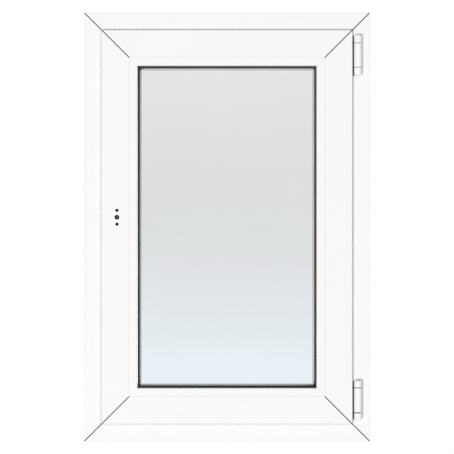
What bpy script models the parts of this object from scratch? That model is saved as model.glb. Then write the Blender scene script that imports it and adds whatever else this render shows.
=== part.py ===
"""A white PVC-U tilt-and-turn casement window, 600 x 900 mm, closed, with its drive in the turn position.

The window is seen from the room: +X right, +Y outdoors, +Z up. The origin is the middle of the bottom face.
Sections are drawn in (u, y): u is the distance inwards from the window's outer edge, in millimetres.
"""

from math import acos, cos, pi, radians, sin, sqrt, tan

import bmesh
import bpy
from mathutils import Vector
from mathutils.geometry import tessellate_polygon

MM = 0.001

# Driving dimensions, in millimetres.
WIDTH = 600.0
HEIGHT = 900.0
HALF = WIDTH / 2
GAP = 0.3                      # clearance between pieces that touch
MITRE_INSET = 0.25             # each mitred end stops this short of the corner

FRAME_ROOM, FRAME_OUT = -35.0, 35.0
REBATE_U = 45.0                # the frame's inner edge, where the sash drops in
FRAME_LIP_U, FRAME_LIP_Y = 67.0, 24.0
FRAME_CHAMFER = 3.0            # the frame's inner outdoor edge leans back by this much
SEAL_GROOVE = (59.5, 62.5)
SEAL_GROOVE_DEPTH = 3.0
SEAL_FLAP = 2.0                # the seal's head is wider than its groove by this much each side
SEAL_PLAY = 0.8                # room between the seal and the closed sash
ANCHOR_GROOVES = ((8.0, 18.0), (-22.0, -12.0))
ANCHOR_DEPTH = 3.0
SASH_ROOM, SASH_OUT = -50.0, 20.0
OVERLAP_U = 37.0               # edge of the sash leaf that lies over the frame
OVERLAP_BACK = -38.5
SASH_SEAL_U = (40.0, 43.5)     # the overlap seal's groove
SASH_SEAL_Y = -41.0
SASH_SEAL_LIP = 1.2            # the overlap seal stands out of its groove by this much
SEAL_FIT = 0.4                 # side clearance of the overlap seal in its groove
SEAL_BREAK_X = (250.0, 270.0)  # the overlap seal stops where the hinge straps pass
SEAL_BREAKS = ((45.0, 130.0), (765.0, 855.0))
SASH_EDGE_U = 57.0             # outer edge of the sash body, inside the rebate
GLAZING_U = 94.5               # the sash's inner edge, where the glass unit drops in
BEAD_U = 112.5
GASKET_U = 116.4
LIP_U = 120.0                  # the sash's outer lip, seen through the glass
LIP_ROOM = 3.0
LIP_CHAMFER = (3.0, 4.0)
BEAD_ROUND = 3.0               # radius of the bead's room-side edge
BEAD_STEP = 5.0                # the bead's foot is narrower than its face by this much
BEAD_GASKET = 3.0              # room for the gasket between the bead and the inner pane
BEAD_WALL = 3.0
PANE_U = 99.5
INNER_PANE = (-24.0, -20.0)
OUTER_PANE = (-4.0, 0.0)
SPACER_U = (104.5, 111.5)
OUTER_GASKET_U = (104.0, 116.0)
PACKER_HALF = 40.0

# The chambers inside the profiles, and how the steel cores lie in them.
FRAME_CORE = ((6.0, 42.0), (-21.0, 9.0))
FRAME_CHAMBERS = (((6.0, 42.0), (-32.0, -24.0)), FRAME_CORE, ((6.0, 42.0), (12.0, 32.0)),
                  ((45.0, 57.0), (27.5, 32.0)))
SASH_CORE = ((60.0, 92.0), (-16.5, 2.0))
SASH_CHAMBERS = (((69.5, 92.0), (-47.0, -34.5)), ((69.5, 92.0), (-32.0, -19.5)), SASH_CORE,
                 ((60.0, 115.0), (5.0, 17.5)))
CORE_CLEARANCE = 0.6
FRAME_CORE_END = 55.0          # each core stops this far from the window's edge
SASH_CORE_END = 100.0

DRAIN_CAPS_X = (-150.0, 150.0)
DRAIN_CAP_HALF = 22.0

GROOVE_Y = (-31.5, -19.5)      # the sash's hardware groove
GROOVE_DEPTH_U = 67.0
DRIVE_Y = sum(GROOVE_Y) / 2
PLATE_U = (54.5, 56.7)
PLATE_Y = (DRIVE_Y - 8.0, DRIVE_Y + 8.0)
ROD_U = (57.3, 58.85)
ROD_Y = (DRIVE_Y - 5.0, DRIVE_Y + 5.0)
ROD_TOP_END = -55.0
ROD_PAST_CAM = 20.0
ROD_PLAY = 1.5                 # room left between a rod's end and its corner drive
FACEPLATE_TOP_END, FACEPLATE_BOTTOM_END = 195.0, 150.0

HANDLE_Z = 470.5               # height of the handle spindle
SPINDLE_U = 69.5
SPINDLE_X = -HALF + SPINDLE_U
SCREW_OFFSET = 14.5            # each handle screw hole is this far above or below the spindle
SPINDLE_HOLE = 5.0
SCREW_HOLE = 3.15
HOLE_END_Y = -31.0             # the handle holes go through the sash's room wall and end here
SOCKET = 7.0                   # the handle's square spindle
SOCKET_Y = (-33.5, -21.0)
HUB_RADIUS, HUB_Y = 6.2, (-32.9, -18.9)
PIP_RADIUS, PIP_Y = 1.8, (-23.5, -20.5)

GEARBOX_U, GEARBOX_HALF = (61.5, 83.0), 60.0
GEARBOX_POCKET_Y = (-33.0, -18.0)
CASE_Y, COVER_Y = (-30.7, -18.3), (-32.5, -31.0)
CAVITY_Y = -20.9               # floor of the pinion's cavity in the case
HUB_BORE = 6.6
COVER_SCREW = 2.5

TEETH = 16
TOOTH_PITCH = 3.75             # rack pitch, and the pinion's pitch along its pitch circle
PITCH_RADIUS = TEETH * TOOTH_PITCH / (2 * pi)
PRESSURE_ANGLE = radians(25)
ADDENDUM = 0.8
DEDENDUM = 1.2
TOOTH_WIDTH = 8.0
RACK_TEETH = 13
BACKLASH = 0.3

CAM_SHAFT, CAM_HEAD = 3.0, 5.0
CAM_EASE, CAM_SIDES = 0.6, 20
CAM_SLOT = (38.0, 7.0)         # length and width of a cam's slot in its faceplate
CAM_U = (47.5, 51.5)
CAMS_LEFT = (190.0, 700.0)
CAM_TOP = -150.0
CAM_TILT = -160.0
CAM_BOTTOM = 100.0
HOOK_START, HOOK_END = 7.5, 26.0
HOOK_U, HOOK_Y = 53.0, (-34.8, -31.2)
STRIKER_THICK = 1.4
STRIKER_Y = (-34.8, -13.0)
STRIKER_ENDS = (16.0, 4.0)     # how far the base runs behind the cam, and past the hook
CORNER_LEG = 45.0              # leg of a corner drive, along each side

AXIS_X, AXIS_Y = 274.5, -46.5  # the hinge axis
AXIS = (AXIS_X, AXIS_Y)
BARREL = 8.6
TILT_Z = 52.0                  # centre of the ball that the sash tilts about
STRAP_Y = (AXIS_Y + 8.7, AXIS_Y + 10.8)
LINK_X = (AXIS_X + 1.0, AXIS_X + 8.4)
LINK_Y = AXIS_Y + 6.2          # where the web to the frame starts, inside the knuckle
BARREL_LINK_Y = AXIS_Y + 5.0   # where a strap starts, inside the knuckle
BAND_X = (243.3, 245.8)        # the plate on the sash's edge, below
BEARING_Z = (46.7, 59.9)
BAND_Z = (61.9, 112.3)
BAND_STRAP_Z = (64.0, 110.0)
BAND_PLATE_Z, BAND_PLATE_END = (58.0, 112.0), -17.5
BAND_CAP_Z = (113.9, 128.0)
BALL, PIVOT_SHAFT, PIVOT_TOP = 3.6, 3.0, 105.0
PIVOT_BORE, CAP_BORE, CAP_SHAFT = 3.4, 3.1, 2.8
CAP_BORE_Z = 108.5
STAY_Z = (767.0, 852.0)
STAY_GAP_Z = (784.0, 836.0)    # the arm's knuckle sits between these heights
STAY_PIN_Z, STAY_PIN = (771.4, 851.0), 3.5
STAY_PIN_BORE = 3.8
SLEEVE_RADIUS = (3.8, 4.25)
SLEEVE_Z = (785.3, 834.7)
ARM_Z = (785.0, 835.0)
ARM_BORE = 4.55
ARM_STRAP_Z = (790.0, 830.0)
ARM_PLATE_X, ARM_PLATE_END = (247.0, 249.5), -19.5
STAY_PIN_X = -24.8             # the stay arm's pin, in the slot on top of the sash
STAY_ARM_Z = (847.0, 850.0)
STAY_SLOT_X, STAY_SLOT_WIDTH = (-29.7, -7.6), 10.0
ARM_PIN, ARM_PIN_FOOT = 3.0, 836.5
ARM_END, ARM_HALF_WIDTH = 7.0, 6.0

ROUND = 32                     # sides of a round piece


# ---- materials ----

def material(name, colour, roughness, metallic=0.0, transmission=0.0):
    """A Principled material of one colour."""
    made = bpy.data.materials.new(name)
    made.use_nodes = True
    shader = made.node_tree.nodes["Principled BSDF"]
    shader.inputs["Base Color"].default_value = (*colour, 1.0)
    shader.inputs["Roughness"].default_value = roughness
    shader.inputs["Metallic"].default_value = metallic
    shader.inputs["Transmission Weight"].default_value = transmission
    return made


# ---- mesh helpers ----

def finish(name, mesh, look, parent=None):
    """Turn a bmesh in world millimetres into a named object, with its origin on its parent's axis."""
    bmesh.ops.recalc_face_normals(mesh, faces=mesh.faces)
    place = parent.matrix_world.translation if parent else Vector((0, 0, 0))
    for vertex in mesh.verts:
        vertex.co = vertex.co * MM - place
    data = bpy.data.meshes.new(name)
    mesh.to_mesh(data)
    mesh.free()
    data.materials.append(look)
    made = bpy.data.objects.new(name, data)
    bpy.context.collection.objects.link(made)
    if parent:
        made.parent = parent
    return made


def axis_empty(name, x, y, z, parent=None):
    """An empty on a joint's axis, which carries the pieces that move there."""
    made = bpy.data.objects.new(name, None)
    bpy.context.collection.objects.link(made)
    made.parent = parent
    base = parent.matrix_world.translation if parent else Vector((0, 0, 0))
    made.location = Vector((x, y, z)) * MM - base
    bpy.context.view_layer.update()
    return made


def sweep_mesh(loops, stations, closed=False):
    """A bar whose section (an outline, then its chambers) passes through the stations in turn."""
    mesh = bmesh.new()
    rings = [[[mesh.verts.new(station(u, y)) for u, y in loop] for loop in loops] for station in stations]
    steps = len(rings) if closed else len(rings) - 1
    for step in range(steps):
        for first, second in zip(rings[step], rings[(step + 1) % len(rings)]):
            for i in range(len(first)):
                j = (i + 1) % len(first)
                mesh.faces.new((first[i], first[j], second[j], second[i]))
    if not closed:
        flat = [[Vector((u, y, 0)) for u, y in loop] for loop in loops]
        for triangle in tessellate_polygon(flat):
            for end in (rings[0], rings[-1]):
                corners = [vertex for loop in end for vertex in loop]
                mesh.faces.new([corners[i] for i in triangle])
    return mesh


def corner(right, top, inset_x=0.0, inset_z=0.0):
    """The station on the diagonal of a corner of the window."""
    def place(u, y):
        x = HALF - u - inset_x
        z = u + inset_z
        return Vector((x if right else -x, y, HEIGHT - z if top else z))
    return place


def cut(side, at):
    """The square-cut station at a height or a width along one side of the window."""
    def place(u, y):
        if side in ("left", "right"):
            return Vector((HALF - u if side == "right" else u - HALF, y, at))
        return Vector((at, y, HEIGHT - u if side == "top" else u))
    return place


def mitred(name, side, loops, look, parent=None):
    """One side of a mitred frame."""
    if side in ("left", "right"):
        ends = [corner(side == "right", top, inset_z=MITRE_INSET) for top in (False, True)]
    else:
        ends = [corner(right, side == "top", inset_x=MITRE_INSET) for right in (False, True)]
    return finish(name, sweep_mesh(loops, ends), look, parent)


def square_cut(name, side, loops, span, look, parent=None):
    """A straight bar with square ends."""
    return finish(name, sweep_mesh(loops, [cut(side, at) for at in span]), look, parent)


def ring(name, outline, look, parent=None):
    """A closed ring all round the window."""
    around = [corner(False, False), corner(True, False), corner(True, True), corner(False, True)]
    return finish(name, sweep_mesh([outline], around, closed=True), look, parent)


def rectangle(u_span, y_span):
    return [(u_span[0], y_span[0]), (u_span[1], y_span[0]), (u_span[1], y_span[1]), (u_span[0], y_span[1])]


def core_in(chamber, wall=1.5):
    """The U-shaped steel core that slides into a chamber, open towards the glass."""
    (u0, u1), (y0, y1) = [(low + CORE_CLEARANCE, high - CORE_CLEARANCE) for low, high in chamber]
    inner = [(u1, y0 + wall), (u0 + wall, y0 + wall), (u0 + wall, y1 - wall), (u1, y1 - wall)]
    return [(u0, y0), (u1, y0), *inner, (u1, y1), (u0, y1)]


def box_mesh(low, high):
    mesh = bmesh.new()
    bmesh.ops.create_cube(mesh, size=1.0)
    for vertex in mesh.verts:
        vertex.co = Vector([low[i] if vertex.co[i] < 0 else high[i] for i in range(3)])
    return mesh


def box(name, low, high, look, parent=None):
    return finish(name, box_mesh(low, high), look, parent)


def prism_mesh(outline, place, span):
    """An outline pushed from one end of span to the other; place(a, b, depth) gives each point."""
    return sweep_mesh([outline], [lambda a, b, depth=depth: Vector(place(a, b, depth)) for depth in span])


def turned_mesh(profile, centre, direction="Z", sides=ROUND):
    """A turned piece: profile is (radius, position along the axis), and it may start and end on the axis."""
    mesh = bmesh.new()

    def spot(radius, along, angle):
        across, up = radius * cos(angle), radius * sin(angle)
        if direction == "Z":
            return Vector((centre[0] + across, centre[1] + up, along))
        if direction == "Y":
            return Vector((centre[0] + across, along, centre[1] + up))
        return Vector((along, centre[0] + across, centre[1] + up))

    rows = []
    for radius, along in profile:
        if radius == 0:
            rows.append([mesh.verts.new(spot(0, along, 0))])
        else:
            rows.append([mesh.verts.new(spot(radius, along, 2 * pi * i / sides)) for i in range(sides)])
    open_ended = len(rows[0]) == 1
    for first, second in zip(rows, rows[1:] if open_ended else rows[1:] + rows[:1]):
        for i in range(sides):
            j = (i + 1) % sides
            quad = [first[i % len(first)], first[j % len(first)]]
            quad += [second[j % len(second)], second[i % len(second)]]
            mesh.faces.new(list(dict.fromkeys(quad)))
    return mesh


def smooth(made, angle=35):
    """Smooth shading, with edges sharper than the angle kept crisp."""
    made.data.shade_smooth()
    made.data.set_sharp_from_angle(angle=radians(angle))
    return made


def turned(name, profile, centre, look, parent=None, direction="Z", sides=ROUND):
    return smooth(finish(name, turned_mesh(profile, centre, direction, sides), look, parent))


def combine(made, mesh, operation):
    """Add or cut another solid with an exact Boolean; the tool itself is a hidden wire guide."""
    count = len(made.modifiers)
    guide = finish(f"{made.name}_tool_{count}", mesh, made.data.materials[0], made.parent)
    guide.hide_render = True
    guide.display_type = "WIRE"
    change = made.modifiers.new(f"{operation}_{count}".lower(), "BOOLEAN")
    change.operation = operation
    change.solver = "EXACT"
    change.object = guide


def add(made, mesh):
    combine(made, mesh, "UNION")


def take(made, mesh):
    combine(made, mesh, "DIFFERENCE")


def rod_profile(radius, low, high, ease=0.6):
    """The profile of a plain round bar with eased ends."""
    side = [(radius - ease, low), (radius, low + ease), (radius, high - ease), (radius - ease, high)]
    return [(0, low), *side, (0, high)]


def arc(centre, radius, start, stop, steps):
    """Points on an arc, angles in degrees."""
    turn = [radians(start + (stop - start) * i / steps) for i in range(steps + 1)]
    return [(centre[0] + radius * cos(angle), centre[1] + radius * sin(angle)) for angle in turn]


# ---- sections ----

def frame_section():
    """The fixed frame: room leg, rebate, outer lip with its seal groove, and two anchor grooves outside."""
    outline = [(0, FRAME_ROOM), (REBATE_U, FRAME_ROOM), (REBATE_U, FRAME_LIP_Y)]
    groove_y = FRAME_LIP_Y + SEAL_GROOVE_DEPTH
    outline += [(SEAL_GROOVE[0], FRAME_LIP_Y), (SEAL_GROOVE[0], groove_y)]
    outline += [(SEAL_GROOVE[1], groove_y), (SEAL_GROOVE[1], FRAME_LIP_Y)]
    outline += [(FRAME_LIP_U, FRAME_LIP_Y), (FRAME_LIP_U - FRAME_CHAMFER, FRAME_OUT), (0, FRAME_OUT)]
    for low, high in ANCHOR_GROOVES:
        outline += [(0, high), (ANCHOR_DEPTH, high), (ANCHOR_DEPTH, low), (0, low)]
    return [outline, *[rectangle(*chamber) for chamber in FRAME_CHAMBERS]]


def sash_section():
    """The sash: overlap leaf, hardware groove, glazing rebate and outer glazing lip."""
    low, high = GROOVE_Y
    seal_low, seal_high = SASH_SEAL_U
    outline = [(OVERLAP_U, SASH_ROOM), (GLAZING_U, SASH_ROOM), (GLAZING_U, LIP_ROOM)]
    outline += [(LIP_U - LIP_CHAMFER[0], LIP_ROOM), (LIP_U, LIP_ROOM + LIP_CHAMFER[1])]
    outline += [(LIP_U - LIP_CHAMFER[0] / 2, SASH_OUT), (SASH_EDGE_U, SASH_OUT)]
    outline += [(SASH_EDGE_U, high), (GROOVE_DEPTH_U, high), (GROOVE_DEPTH_U, low), (SASH_EDGE_U, low)]
    outline += [(SASH_EDGE_U, OVERLAP_BACK), (seal_high, OVERLAP_BACK), (seal_high, SASH_SEAL_Y)]
    outline += [(seal_low, SASH_SEAL_Y), (seal_low, OVERLAP_BACK), (OVERLAP_U, OVERLAP_BACK)]
    return [outline, *[rectangle(*chamber) for chamber in SASH_CHAMBERS]]


def bead_section():
    """A hollow glazing bead with a rounded room-side edge and a clip foot."""
    outer, back = GLAZING_U + GAP, INNER_PANE[0] - BEAD_GASKET - GAP
    edge = arc((BEAD_U - BEAD_ROUND, SASH_ROOM + BEAD_ROUND), BEAD_ROUND, -90, 0, 4)
    foot = back - BEAD_WALL
    outline = [(outer, SASH_ROOM), *edge, (BEAD_U, back)]
    outline += [(BEAD_U - BEAD_STEP, back), (BEAD_U - BEAD_STEP, foot), (outer, foot)]
    hollow_y = (SASH_ROOM + BEAD_WALL + 1, foot - BEAD_WALL)
    return [outline, rectangle((outer + BEAD_WALL, BEAD_U - BEAD_WALL), hollow_y)]


def cores(name, ends, chamber, end_gap, steel, body=None):
    """The four steel cores of a mitred frame; ends names the top, bottom, left and right pieces."""
    section = [core_in(chamber)]
    across, upright = (end_gap - HALF, HALF - end_gap), (end_gap, HEIGHT - end_gap)
    for end, side, span in zip(ends, ("top", "bottom", "left", "right"), (across, across, upright, upright)):
        square_cut(f"{name}_{end}", side, section, span, steel, body)


# ---- the fixed frame ----

def build_frame(pvc, steel, rubber):
    section = frame_section()
    for name, side in (("frame_head", "top"), ("frame_sill", "bottom"),
                       ("frame_jamb_left", "left"), ("frame_jamb_right", "right")):
        mitred(name, side, section, pvc)
    cores("frame_steel", ("head", "sill", "left", "right"), FRAME_CORE, FRAME_CORE_END, steel)
    foot = (SEAL_GROOVE[0] + GAP, SEAL_GROOVE[1] - GAP)
    head = (foot[0] - SEAL_FLAP, foot[1] + SEAL_FLAP)
    tip_y, back_y = SASH_OUT + SEAL_PLAY, FRAME_LIP_Y - GAP
    foot_y = FRAME_LIP_Y + SEAL_GROOVE_DEPTH - GAP
    seal = [(head[0], tip_y + SEAL_FLAP / 2), (foot[0], tip_y), (head[1], tip_y), (head[1], back_y)]
    seal += [(foot[1], back_y), (foot[1], foot_y), (foot[0], foot_y), (foot[0], back_y), (head[0], back_y)]
    ring("frame_seal", seal, rubber)


def build_drain_caps(pvc):
    """Two hoods over the drainage slots in the sill's outer face."""
    back = FRAME_OUT + GAP
    hood = [(back, 30), (36.6, 30), (40.5, 25), (40.5, 12), (38.9, 12), (38.9, 24.4), (36.2, 28), (back, 28)]
    for name, middle in zip(("drain_cap_left", "drain_cap_right"), DRAIN_CAPS_X):
        mesh = prism_mesh(hood, lambda y, z, x: (x, y, z), (middle - DRAIN_CAP_HALF, middle + DRAIN_CAP_HALF))
        finish(name, mesh, pvc)


def striker(name, side, cam, direction, zinc, both=False):
    """A keeper screwed to the frame's rebate; its hook stands on the room side of the locked cam."""
    base_u = (REBATE_U + GAP, REBATE_U + GAP + STRIKER_THICK)
    behind, past = STRIKER_ENDS[0], HOOK_END + STRIKER_ENDS[1]
    span = sorted((cam - direction * (past if both else behind), cam + direction * past))
    made = square_cut(name, side, [rectangle(base_u, STRIKER_Y)], span, zinc)
    hooks = [direction, -direction] if both else [direction]
    for way in hooks:
        walls = sorted((cam + way * HOOK_START, cam + way * HOOK_END))
        hook = rectangle((base_u[0] + STRIKER_THICK / 3, HOOK_U), HOOK_Y)
        add(made, sweep_mesh([hook], [cut(side, at) for at in walls]))
    return made


def build_strikers(zinc):
    striker("striker_left_lower", "left", CAMS_LEFT[0], 1, zinc)
    striker("striker_left_upper", "left", CAMS_LEFT[1], 1, zinc)
    striker("striker_top", "top", CAM_TOP, 1, zinc)
    striker("striker_bottom", "bottom", CAM_BOTTOM, -1, zinc)
    striker("striker_tilt", "bottom", CAM_TILT, 1, zinc, both=True)


# ---- the sash ----

def build_sash(pvc, steel, rubber, body):
    section = sash_section()
    mitred("sash_top", "top", section, pvc, body)
    mitred("sash_bottom", "bottom", section, pvc, body)
    mitred("sash_stile_right", "right", section, pvc, body)
    left = mitred("sash_stile_left", "left", section, pvc, body)
    pocket = rectangle((SASH_EDGE_U - 1, GEARBOX_U[1] + GAP), GEARBOX_POCKET_Y)
    reach = GEARBOX_HALF + 0.5
    take(left, sweep_mesh([pocket], [cut("left", HANDLE_Z - reach), cut("left", HANDLE_Z + reach)]))
    for radius, z in ((SPINDLE_HOLE, HANDLE_Z), (SCREW_HOLE, HANDLE_Z + SCREW_OFFSET),
                      (SCREW_HOLE, HANDLE_Z - SCREW_OFFSET)):
        take(left, hole_mesh(radius, (SASH_ROOM - 1, HOLE_END_Y), (SPINDLE_X, z)))
    cores("sash_steel", ("top", "bottom", "left", "right"), SASH_CORE, SASH_CORE_END, steel, body)
    foot = (SASH_SEAL_U[0] + SEAL_FIT, SASH_SEAL_U[1] - SEAL_FIT)
    lip, base, mouth = OVERLAP_BACK + SASH_SEAL_LIP, SASH_SEAL_Y + GAP, OVERLAP_BACK + GAP
    seal = [(foot[0], base), (foot[1], base), (foot[1], mouth)]
    seal += [(SASH_SEAL_U[1] + 1, lip), (SASH_SEAL_U[0] - 1, lip), (foot[0], mouth)]
    overlap = ring("sash_seal", seal, rubber, body)
    for low, high in SEAL_BREAKS:
        take(overlap, box_mesh((SEAL_BREAK_X[0], mouth, low), (SEAL_BREAK_X[1], FRAME_ROOM, high)))


def build_glazing(pvc, rubber, glass, spacer, packer, body):
    section = bead_section()
    for side in ("top", "bottom", "left", "right"):
        mitred(f"bead_{side}", side, section, pvc, body)
    for name, (front, back) in (("glass_pane_inner", INNER_PANE), ("glass_pane_outer", OUTER_PANE)):
        low = (PANE_U - HALF, front, PANE_U)
        high = (HALF - PANE_U, back, HEIGHT - PANE_U)
        box(name, low, high, glass, body)
    ring("glass_spacer", rectangle(SPACER_U, (INNER_PANE[1] + GAP, OUTER_PANE[0] - GAP)), spacer, body)
    front, back, start = INNER_PANE[0] - BEAD_GASKET, INNER_PANE[0] - GAP, BEAD_U - BEAD_STEP + 1
    lip = [(GASKET_U - 1, front), (GASKET_U, front + 1), (GASKET_U, back)]
    ring("bead_gasket", [(start, front), *lip, (start, back)], rubber, body)
    ring("outer_glass_gasket", rectangle(OUTER_GASKET_U, (OUTER_PANE[1] + GAP, LIP_ROOM - GAP)), rubber, body)
    packing = [rectangle((GLAZING_U + GAP, PANE_U - GAP), (INNER_PANE[0], OUTER_PANE[1]))]
    for name, side, middle in (("packer_bottom_left", "bottom", -150), ("packer_bottom_right", "bottom", 150),
                               ("packer_hinge_side", "right", 160), ("packer_handle_side", "left", 740)):
        square_cut(name, side, packing, (middle - PACKER_HALF, middle + PACKER_HALF), packer, body)


# ---- the drive ----

def pinion_outline():
    """An involute pinion with stub teeth, its first tooth gap facing the rack."""
    base = PITCH_RADIUS * cos(PRESSURE_ANGLE)
    tip, root = PITCH_RADIUS + ADDENDUM, PITCH_RADIUS - DEDENDUM
    half_pitch_angle = (TOOTH_PITCH - BACKLASH) / 4 / PITCH_RADIUS

    def roll(radius):
        """The involute function at a radius."""
        slope = acos(min(1.0, base / radius))
        return tan(slope) - slope

    steps = [base + (tip - base) * i / 4 for i in range(5)]
    points = []
    for tooth in range(TEETH):
        middle = pi + 2 * pi * (tooth + 0.5) / TEETH
        spread = [half_pitch_angle + roll(PITCH_RADIUS) - roll(radius) for radius in steps]
        points.append((root, middle - spread[0]))
        points += [(radius, middle - angle) for radius, angle in zip(steps, spread)]
        points += [(radius, middle + angle) for radius, angle in reversed(list(zip(steps, spread)))]
        points.append((root, middle + spread[0]))
    return [(SPINDLE_X + radius * cos(angle), HANDLE_Z + radius * sin(angle)) for radius, angle in points]


def build_spindle(zinc_dark, body):
    """The pinion with its hub and the handle's square socket; a small pip stands in the socket."""
    outline = pinion_outline()
    half, socket = TOOTH_WIDTH / 2, SOCKET / 2
    teeth = prism_mesh(outline, lambda x, z, y: (x, y, z), (DRIVE_Y - half, DRIVE_Y + half))
    nut = finish("spindle_nut", teeth, zinc_dark, body)
    add(nut, turned_mesh(rod_profile(HUB_RADIUS, *HUB_Y, 0.4), (SPINDLE_X, HANDLE_Z), "Y"))
    low = (SPINDLE_X - socket, SOCKET_Y[0], HANDLE_Z - socket)
    high = (SPINDLE_X + socket, SOCKET_Y[1], HANDLE_Z + socket)
    take(nut, box_mesh(low, high))
    add(nut, turned_mesh(rod_profile(PIP_RADIUS, *PIP_Y, 0.4), (SPINDLE_X, HANDLE_Z), "Y", 16))


def hole_mesh(radius, y_span, centre, sides=ROUND):
    """A round cutter along Y, for a hole between two depths."""
    near, far = y_span
    return turned_mesh([(0, near), (radius, near), (radius, far), (0, far)], centre, "Y", sides)


def build_gearbox(zinc, body):
    z_span = (HANDLE_Z - GEARBOX_HALF, HANDLE_Z + GEARBOX_HALF)
    spin = (SPINDLE_X, HANDLE_Z)
    case = square_cut("gearbox_case", "left", [rectangle(GEARBOX_U, CASE_Y)], z_span, zinc, body)
    mouth = CASE_Y[0] - 0.8
    take(case, hole_mesh(PITCH_RADIUS + 1.6, (mouth, CAVITY_Y), spin))
    take(case, hole_mesh(HUB_BORE, (CAVITY_Y - 1, CASE_Y[1] + 1), spin))
    relief = rectangle((GEARBOX_U[0] - 1, GEARBOX_U[0] + 3), (mouth, CAVITY_Y))
    recess = rectangle((GEARBOX_U[0] + 4.5, GEARBOX_U[1] - 3), (mouth, CAVITY_Y - 0.6))
    for way in (-1, 1):
        for pocket, ends in ((relief, (6, 9)), (recess, (22, 52))):
            heights = sorted(HANDLE_Z + way * end for end in ends)
            take(case, sweep_mesh([pocket], [cut("left", at) for at in heights]))
    cover = square_cut("gearbox_cover", "left", [rectangle(GEARBOX_U, COVER_Y)], z_span, zinc, body)
    through = (COVER_Y[0] - 1, COVER_Y[1] + 1)
    take(cover, hole_mesh(HUB_BORE, through, spin))
    for way in (-1, 1):
        take(cover, hole_mesh(COVER_SCREW, through, (SPINDLE_X, HANDLE_Z + way * SCREW_OFFSET), 16))


def cam(side, at):
    """A mushroom-headed locking cam riveted to a rod."""
    foot, ease = (ROD_U[0] + ROD_U[1]) / 2, CAM_EASE
    profile = [(0, foot), (CAM_SHAFT, foot), (CAM_SHAFT, CAM_U[1]), (CAM_HEAD, CAM_U[1])]
    profile += [(CAM_HEAD, CAM_U[0] + ease), (CAM_HEAD - ease, CAM_U[0]), (0, CAM_U[0])]
    if side == "left":
        return turned_mesh([(r, u - HALF) for r, u in profile], (DRIVE_Y, at), "X", CAM_SIDES)
    if side == "top":
        return turned_mesh([(r, HEIGHT - u) for r, u in profile], (at, DRIVE_Y), "Z", CAM_SIDES)
    return turned_mesh(profile, (at, DRIVE_Y), "Z", CAM_SIDES)


def rack_outline(low, high, teeth):
    """The left rod's edge: a flat strip with straight-flanked rack teeth beside the pinion."""
    pitch_u = SPINDLE_U - PITCH_RADIUS
    tip_u, root_u = pitch_u + ADDENDUM + BACKLASH / 2, ROD_U[1]
    half = (TOOTH_PITCH - BACKLASH) / 4
    lean = tan(PRESSURE_ANGLE)
    points = [(ROD_U[0], high), (ROD_U[0], low), (ROD_U[1], low)]
    for number in range(teeth):
        middle = HANDLE_Z + (number - (teeth - 1) / 2) * TOOTH_PITCH
        foot, crest = half + (pitch_u - root_u) * lean, half - (tip_u - pitch_u) * lean
        points += [(root_u, middle - foot), (tip_u, middle - crest)]
        points += [(tip_u, middle + crest), (root_u, middle + foot)]
    return points + [(ROD_U[1], high)]


def build_rods(steel, bodies):
    corner_end = SASH_EDGE_U + CORNER_LEG
    travel = TOOTH_PITCH * TEETH / 4 + ROD_PLAY
    low, high = corner_end + travel, HEIGHT - corner_end - travel
    outline = rack_outline(low, high, RACK_TEETH)
    mesh = prism_mesh(outline, lambda u, z, y: (u - HALF, y, z), ROD_Y)
    rod = finish("drive_rod_left", mesh, steel, bodies["rod_left"])
    for at in CAMS_LEFT:
        add(rod, cam("left", at))
    bar = [rectangle(ROD_U, ROD_Y)]
    start = corner_end + travel - HALF
    top = square_cut("drive_rod_top", "top", bar, (start, ROD_TOP_END), steel, bodies["rod_top"])
    add(top, cam("top", CAM_TOP))
    span = (start, CAM_BOTTOM + ROD_PAST_CAM)
    bottom = square_cut("drive_rod_bottom", "bottom", bar, span, steel, bodies["rod_bottom"])
    add(bottom, cam("bottom", CAM_TILT))
    add(bottom, cam("bottom", CAM_BOTTOM))


def slot_mesh(side, at, length, width):
    """A round-ended slot through a faceplate."""
    straight = (length - width) / 2
    outline = arc((straight, 0), width / 2, -90, 90, 8) + arc((-straight, 0), width / 2, 90, 270, 8)
    deep = (PLATE_U[0] - 1, PLATE_U[1] + GAP)

    def place(a, b, u):
        if side == "left":
            return (u - HALF, DRIVE_Y + b, at + a)
        return (at + a, DRIVE_Y + b, HEIGHT - u if side == "top" else u)
    return prism_mesh(outline, place, deep)


def build_faceplates(steel, body):
    plate = [rectangle(PLATE_U, PLATE_Y)]
    inner = SASH_EDGE_U + CORNER_LEG + GAP
    left = square_cut("faceplate_left", "left", plate, (inner, HEIGHT - inner), steel, body)
    for at in CAMS_LEFT:
        take(left, slot_mesh("left", at, *CAM_SLOT))
    top = square_cut("faceplate_top", "top", plate, (inner - HALF, FACEPLATE_TOP_END), steel, body)
    take(top, slot_mesh("top", CAM_TOP, *CAM_SLOT))
    take(top, slot_mesh("top", sum(STAY_SLOT_X) / 2, STAY_SLOT_X[1] - STAY_SLOT_X[0], STAY_SLOT_WIDTH))
    span = (inner - HALF, FACEPLATE_BOTTOM_END)
    bottom = square_cut("faceplate_bottom", "bottom", plate, span, steel, body)
    for at in (CAM_TILT, CAM_BOTTOM):
        take(bottom, slot_mesh("bottom", at, *CAM_SLOT))


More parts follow.
